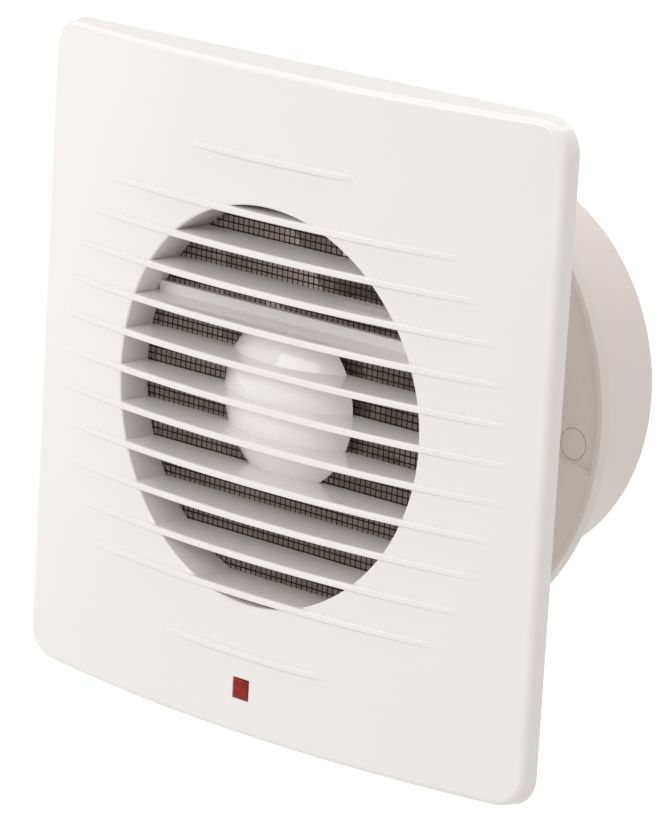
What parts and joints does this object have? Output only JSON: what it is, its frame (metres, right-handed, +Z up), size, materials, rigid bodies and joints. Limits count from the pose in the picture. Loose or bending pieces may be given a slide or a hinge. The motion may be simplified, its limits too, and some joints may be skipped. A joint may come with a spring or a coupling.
{
  "type": "extractor fan",
  "caption": "Square wall extractor fan with a louvred front cover, insect mesh, axial impeller and motor in a round duct tube, and a sliding rear clamp ring.",
  "frame": {"origin": "centre of the duct bore in the wall plane, where the cover's back rim meets the wall", "axes": "+Y into the wall along the bore, +Z up, +X right as seen from the room"},
  "size_m": [0.16, 0.0862, 0.1584],
  "materials": {
    "white_abs": "moulded white ABS, satin gloss",
    "body_abs": "moulded off-white ABS, satin",
    "grey_abs": "moulded warm grey ABS",
    "wire_mesh": "black coated woven wire",
    "red_lens": "clear red acrylic, flush lens",
    "lamp_glass": "clear glass bulb with an orange discharge gas",
    "steel": "zinc-plated steel",
    "lamination": "stacked electrical steel, punched edges",
    "copper": "enamelled copper winding",
    "bronze": "sintered oil-filled bronze",
    "terminal_nylon": "natural nylon",
    "black_rubber": "moulded rubber",
    "brown_pvc": "PVC lead insulation",
    "blue_pvc": "PVC lead insulation"
  },
  "bodies": {
    "body": {"fan_body": "body_abs", "wall_plate": "body_abs", "motor_cap": "body_abs", "stator_core": "lamination", "stator_coil_1": "copper", "stator_coil_2": "copper", "stator_coil_3": "copper", "stator_coil_4": "copper", "front_bearing": "bronze", "rear_bearing": "bronze", "bearing_bracket": "steel", "bracket_screw_1": "steel", "bracket_screw_2": "steel", "terminal_block": "terminal_nylon", "terminal_screw_1": "steel", "terminal_screw_2": "steel", "cable_clamp": "terminal_nylon", "clamp_screw_1": "steel", "clamp_screw_2": "steel", "cable_grommet": "black_rubber", "motor_lead_live": "brown_pvc", "motor_lead_neutral": "blue_pvc", "lamp_lead_live": "brown_pvc", "lamp_lead_neutral": "blue_pvc", "neon_lamp": "lamp_glass"},
    "cover": {"front_cover": "white_abs", "mesh_frame": "white_abs", "insect_mesh": "wire_mesh", "indicator_lens": "red_lens"},
    "fan_wheel": {"impeller": "grey_abs", "impeller_clip": "steel", "motor_shaft": "steel", "rotor_core": "lamination"},
    "ring": {"clamp_ring": "white_abs"}
  },
  "joints": [
    {"name": "impeller_spin", "type": "hinge", "parent": "body", "child": "fan_wheel", "pos_m": [0, 0.0155, 0], "axis": [0, 1, 0], "continuous": true},
    {"name": "cover_pull", "type": "slide", "parent": "body", "child": "cover", "axis": [0, -1, 0], "range_m": [0, 0.03]},
    {"name": "ring_slide", "type": "slide", "parent": "body", "child": "ring", "axis": [0, 1, 0], "range_m": [-0.03, 0.025]}
  ]
}
